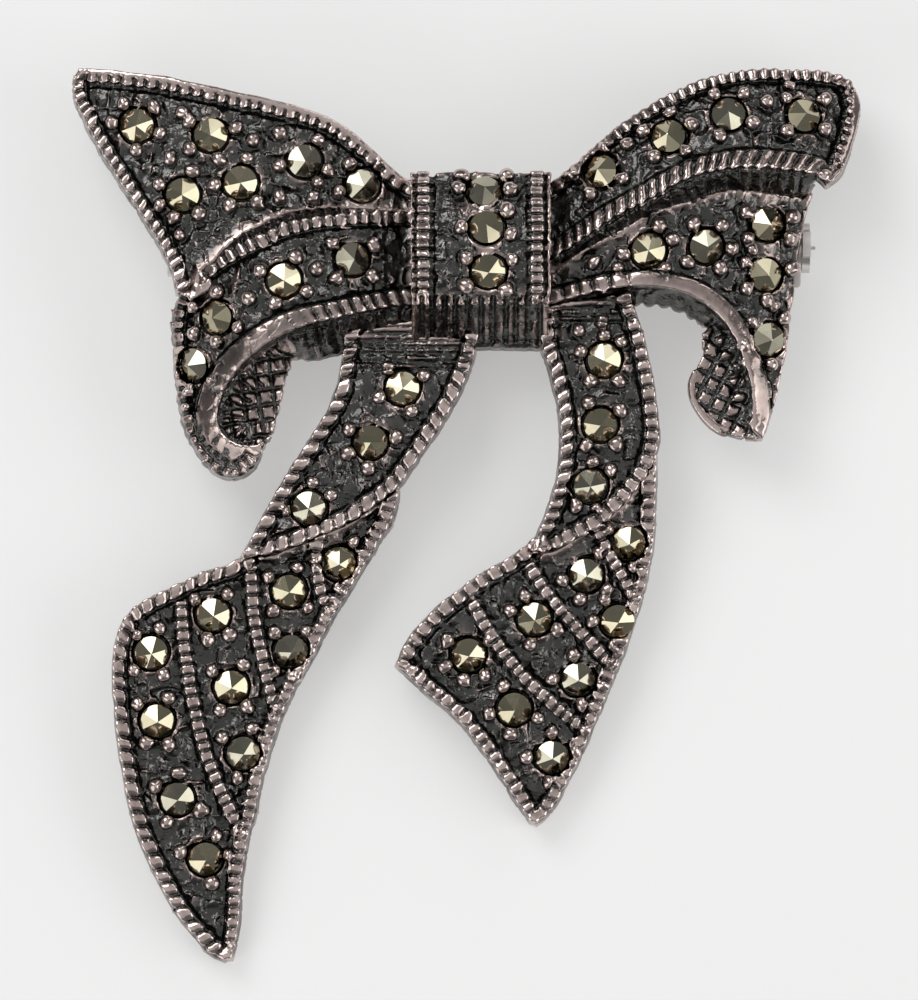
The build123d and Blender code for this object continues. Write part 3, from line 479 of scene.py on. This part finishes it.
def chase(node, field, low, standing):
    """Cuts the beads, the grooves, the hatching and the marks of casting into a casting's field.
    Returns each column's polishing, less than 0 where painted shade darkens it, with painted glints on its
    thin ridges, and the height of its top."""
    xs, ys, zs = [(low[i] + np.arange(field.shape[i])) * VOXEL for i in range(3)]
    seed = 20 * sorted(CASTINGS).index(node)
    rails, ribs = CASTINGS[node]
    cut = np.zeros((xs.size, ys.size), np.float32)
    polish_and_shade = np.zeros_like(cut)
    for number, shape in enumerate(rails + ribs):
        cut_shape = rail_cut if isinstance(shape, Rail) else rib_cut
        depth, tone_shift = cut_shape(shape, xs, ys, seed + number)
        cut = np.where(np.abs(depth) > np.abs(cut), depth, cut)
        polish_and_shade = np.where(np.abs(tone_shift) > np.abs(polish_and_shade), tone_shift, polish_and_shade)
    marks, ridges = casting_marks(cut.shape, seed)
    marks = marks * (1 - 0.8 * np.clip(polish_and_shade, 0, 1))
    # painted glints: the thin ridges in the hollows are made lighter, partly as wear on their crests
    polish_and_shade = np.where(np.abs(polish_and_shade) < 0.05, 0.8 * ridges, polish_and_shade)
    hatch, hatch_top = 0, NOWHERE
    if node in HATCHED:
        on_rim = polish_and_shade > 0.85
        hatch, tone_shift = hatch_cut(HATCHED[node], xs, ys)
        hatch, hatch_top = np.where(on_rim, 0, hatch), HATCHED[node].top
        on_face = np.abs(tone_shift) > 0.05
        polish_and_shade = np.where(on_face & ~on_rim, tone_shift, polish_and_shade)
        marks = np.where(on_face, 0, marks)
    field += marks[:, :, None] * (1 - 0.85 * standing)
    rings = SEAT_DEPTH * seat_rings(xs, ys)
    tops = column_tops(field, zs)
    for layer, z in enumerate(zs):
        reach = ramp(z - tops, -CUT_REACH, -FULL_CUT)
        field[:, :, layer] += (cut + rings * (1 - 0.7 * standing[:, :, layer])) * reach
        if z < hatch_top:
            field[:, :, layer] += hatch
    return polish_and_shade, tops


def sample(field, low, voxel, points):
    """The field's value at points in millimetres."""
    at = points / voxel - low
    base = np.clip(np.floor(at).astype(int), 0, np.array(field.shape) - 2)
    t = at - base
    value = np.zeros(len(points), np.float32)
    for i in (0, 1):
        for j in (0, 1):
            for k in (0, 1):
                weight = (t[:, 0] if i else 1 - t[:, 0]) * (t[:, 1] if j else 1 - t[:, 1])
                weight = weight * (t[:, 2] if k else 1 - t[:, 2])
                value += weight * field[base[:, 0] + i, base[:, 1] + j, base[:, 2] + k]
    return value


def field_mesh(name, field, low, polish_and_shade, tops):
    """A mesh of the field's surface in metres, with how proud each point stands and how bright its polishing
    is, less than 0 where painted shade darkens it.
    """
    grid = openvdb.FloatGrid(BAND_VOXELS * VOXEL)
    grid.copyFromArray(field, ijk=tuple(int(v) for v in low))
    grid.transform = openvdb.createLinearTransform(voxelSize=VOXEL)
    grid.gridClass = openvdb.GridClass.LEVEL_SET
    points, triangles, quads = grid.convertToPolygons(isovalue=0.0, adaptivity=0.1)
    mesh = bpy.data.meshes.new(name)
    corners = np.concatenate([quads.ravel(), triangles.ravel()]).astype(np.int32)
    starts = np.concatenate([4 * np.arange(len(quads)), 4 * len(quads) + 3 * np.arange(len(triangles))])
    mesh.vertices.add(len(points))
    mesh.vertices.foreach_set("co", (points * MM).astype(np.float32).ravel())
    mesh.loops.add(len(corners))
    mesh.loops.foreach_set("vertex_index", corners)
    mesh.polygons.add(len(starts))
    mesh.polygons.foreach_set("loop_start", starts.astype(np.int32))
    mesh.update(calc_edges=True)
    mesh.validate()
    coarse = field[::2, ::2, ::2].copy()
    for attribute, half_width in (("proud_fine", 1), ("proud_broad", 4)):
        proud = sample(box_blur(coarse, half_width), low / 2, 2 * VOXEL, points)
        mesh.attributes.new(attribute, "FLOAT", "POINT").data.foreach_set("value", proud)
    column = tuple(np.rint(points[:, :2] / VOXEL - low[:2]).astype(int).T)
    polish_and_shade_near_top = polish_and_shade[column] * ramp(points[:, 2] - tops[column], -0.9, -0.4)
    mesh.attributes.new("polish_and_shade_near_top", "FLOAT", "POINT").data.foreach_set("value", polish_and_shade_near_top.astype(np.float32))
    mesh.polygons.foreach_set("use_smooth", np.ones(len(starts), bool))
    return mesh


def cast_piece(node, material):
    """The finished casting that replaces the CAD node."""
    field, low = solid_field(node)
    field = push_about(field, HAND_SHIFT, HAND_WAVELENGTH, sorted(CASTINGS).index(node))
    standing = sharpen(field)
    polish_and_shade, tops = chase(node, field, low, standing)
    soften(field)
    mesh = field_mesh(f"{node}_cast", field, low, polish_and_shade, tops)
    piece = bpy.data.objects.new(f"{node}_cast", mesh)
    bpy.context.scene.collection.objects.link(piece)
    mesh.materials.append(material)
    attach(piece, "bow")
    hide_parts(node)


# ---------------------------------------------------------------- materials
STONE_LOOKS = [((0.48, 0.44, 0.31), 0.09), ((0.42, 0.40, 0.31), 0.12), ((0.54, 0.49, 0.35), 0.07)]


def new_material(name):
    material = bpy.data.materials.new(name)
    material.use_nodes = True
    nodes = material.node_tree.nodes
    return material, nodes, material.node_tree.links, nodes["Principled BSDF"]


def noise(nodes, links, coordinates, scale, detail):
    texture = nodes.new("ShaderNodeTexNoise")
    texture.inputs["Scale"].default_value = scale
    texture.inputs["Detail"].default_value = detail
    links.new(coordinates, texture.inputs["Vector"])
    return texture.outputs["Fac"]


def math_node(nodes, links, operation, first, second, third=None, clamp=False):
    node = nodes.new("ShaderNodeMath")
    node.operation = operation
    node.use_clamp = clamp
    for socket, value in zip(node.inputs, (first, second, third)):
        if value is None:
            continue
        if isinstance(value, (int, float)):
            socket.default_value = value
        else:
            links.new(value, socket)
    return node.outputs[0]


def attribute(nodes, name):
    node = nodes.new("ShaderNodeAttribute")
    node.attribute_name = name
    return node.outputs["Fac"]


def map_range(nodes, links, value, source, target):
    node = nodes.new("ShaderNodeMapRange")
    links.new(value, node.inputs["Value"])
    for socket, limit in zip(("From Min", "From Max", "To Min", "To Max"), (*source, *target)):
        node.inputs[socket].default_value = limit
    return node.outputs["Result"]


def colour_ramp(nodes, links, factor, stops):
    node = nodes.new("ShaderNodeValToRGB")
    elements = node.color_ramp.elements
    while len(elements) < len(stops):
        elements.new(0.5)
    for element, (position, colour) in zip(elements, stops):
        element.position = position
        element.color = (*colour, 1)
    links.new(factor, node.inputs["Fac"])
    return node.outputs["Color"]


def bump(nodes, links, height, distance, strength):
    node = nodes.new("ShaderNodeBump")
    node.inputs["Distance"].default_value = distance
    node.inputs["Strength"].default_value = strength
    links.new(height, node.inputs["Height"])
    return node.outputs["Normal"]


def oxidised_silver():
    """Dark and glinting where it is sheltered, worn to pinkish silver where it stands proud, with painted
    shade on the walls below the rails and painted glints on thin ridges.
    """
    material, nodes, links, shader = new_material("oxidised_silver")
    coordinates = nodes.new("ShaderNodeTexCoord").outputs["Object"]
    patches = noise(nodes, links, coordinates, 450, 3)
    grain = noise(nodes, links, coordinates, 2200, 2)
    wear_and_shade = 0.07
    # the second attribute brings polishing, and also the painted shade on the walls and the painted glints on
    # thin ridges
    for value, weight in ((attribute(nodes, "proud_fine"), 3.2), (attribute(nodes, "polish_and_shade_near_top"), 0.2),
                          (attribute(nodes, "proud_broad"), 1.8), (patches, 0.5), (grain, 0.35)):
        wear_and_shade = math_node(nodes, links, "MULTIPLY_ADD", value, weight, wear_and_shade)
    wear_and_shade = math_node(nodes, links, "SUBTRACT", wear_and_shade, 0.4, clamp=True)
    colour = colour_ramp(nodes, links, wear_and_shade, [(0.0, (0.072, 0.072, 0.069)), (0.3, (0.125, 0.118, 0.111)),
                                              (0.6, (0.33, 0.262, 0.242)), (1.0, (0.63, 0.52, 0.485))])
    links.new(colour, shader.inputs["Base Color"])
    shader.inputs["Metallic"].default_value = 1.0
    links.new(map_range(nodes, links, wear_and_shade, (0, 1), (0.22, 0.17)), shader.inputs["Roughness"])
    height = math_node(nodes, links, "MULTIPLY", grain, map_range(nodes, links, wear_and_shade, (0.15, 0.6), (1, 0.25)))
    links.new(bump(nodes, links, height, 0.12 * MM, 1.0), shader.inputs["Normal"])
    return material


def marcasite(number, colour, roughness):
    """Polished pyrite, a little clouded."""
    material, nodes, links, shader = new_material(f"marcasite_{number}")
    coordinates = nodes.new("ShaderNodeTexCoord").outputs["Object"]
    clouds = noise(nodes, links, coordinates, 900, 3)
    dull = [0.8 * c for c in colour]
    links.new(colour_ramp(nodes, links, clouds, [(0.3, dull), (0.7, colour)]), shader.inputs["Base Color"])
    shader.inputs["Metallic"].default_value = 1.0
    shader.inputs["Roughness"].default_value = roughness
    return material


def findings_silver():
    """Satin silver, tarnished here and there."""
    material, nodes, links, shader = new_material("silver_findings")
    coordinates = nodes.new("ShaderNodeTexCoord").outputs["Object"]
    clouds = noise(nodes, links, coordinates, 700, 4)
    links.new(colour_ramp(nodes, links, clouds, [(0.3, (0.42, 0.39, 0.37)), (0.65, (0.76, 0.72, 0.69))]),
              shader.inputs["Base Color"])
    shader.inputs["Metallic"].default_value = 1.0
    shader.inputs["Roughness"].default_value = 0.3
    links.new(bump(nodes, links, noise(nodes, links, coordinates, 3000, 2), 0.01 * MM, 0.5),
              shader.inputs["Normal"])
    return material


def set_material(piece, material):
    piece.data.materials.clear()
    piece.data.materials.append(material)


# ---------------------------------------------------------------- stage, in metres and watts
SOFTBOXES = [              # name, place, size, power
    ("key", (-0.17, 0.24, 0.35), (0.25, 0.25), 0.75),
    ("left_front", (-0.27, -0.22, 0.20), (0.3, 0.25), 0.42),
    ("right", (0.335, -0.09, 0.22), (0.3, 0.25), 0.52),
    ("back", (0.20, 0.32, 0.22), (0.2, 0.2), 0.19),
    ("above", (0, 0, 1.0), (1.2, 1.2), 2.0),
]
BOW_MIDDLE = (0, 0, 0.004)


def floor():
    material, _, _, shader = new_material("floor")
    shader.inputs["Base Color"].default_value = (0.56, 0.56, 0.56, 1)
    shader.inputs["Emission Color"].default_value = (1.0, 0.995, 0.985, 1)
    shader.inputs["Emission Strength"].default_value = 0.37
    shader.inputs["Roughness"].default_value = 0.9
    bpy.ops.mesh.primitive_plane_add(size=3)
    plane = bpy.context.object
    plane.name = "floor"
    plane.data.materials.append(material)


def softbox(name, place, size, power):
    lamp = bpy.data.lights.new(name, "AREA")
    lamp.shape = "RECTANGLE"
    lamp.size, lamp.size_y = size
    lamp.energy = power
    box = bpy.data.objects.new(name, lamp)
    bpy.context.scene.collection.objects.link(box)
    box.location = place
    box.rotation_euler = (Vector(BOW_MIDDLE) - Vector(place)).to_track_quat("-Z", "Y").to_euler()


def world():
    scene_world = bpy.data.worlds.new("studio")
    scene_world.use_nodes = True
    background = scene_world.node_tree.nodes["Background"]
    background.inputs["Color"].default_value = (0.97, 0.98, 1.0, 1)
    background.inputs["Strength"].default_value = 0.2
    bpy.context.scene.world = scene_world


def camera():
    data = bpy.data.cameras.new("camera")
    data.sensor_fit = "VERTICAL"
    data.sensor_height = 24
    view_height = 50.0           # the picture's height at the object, in millimetres
    distance = 500.0
    data.lens = data.sensor_height * distance / view_height
    data.clip_start = 0.01
    eye = bpy.data.objects.new("camera", data)
    bpy.context.scene.collection.objects.link(eye)
    target = Vector((-0.375, 0.65, 5.0)) * MM
    elevation = math.radians(86)
    direction = Vector((0, -math.cos(elevation), math.sin(elevation)))
    eye.location = target + direction * distance * MM
    eye.rotation_euler = direction.to_track_quat("Z", "Y").to_euler()
    bpy.context.scene.camera = eye


silver = oxidised_silver()
for casting in CASTINGS:
    cast_piece(casting, silver)
stones = [marcasite(number, *look) for number, look in enumerate(STONE_LOOKS)]
findings = findings_silver()
for name, node in frame["nodes"].items():
    if name.startswith("marcasite"):
        set_material(node, stones[int(name[-2:]) % len(stones)])
    elif name not in CASTINGS:
        set_material(node, findings)

floor()
for name, place, size, power in SOFTBOXES:
    softbox(name, place, size, power)
world()
bpy.context.scene.view_settings.view_transform = "Standard"
camera()
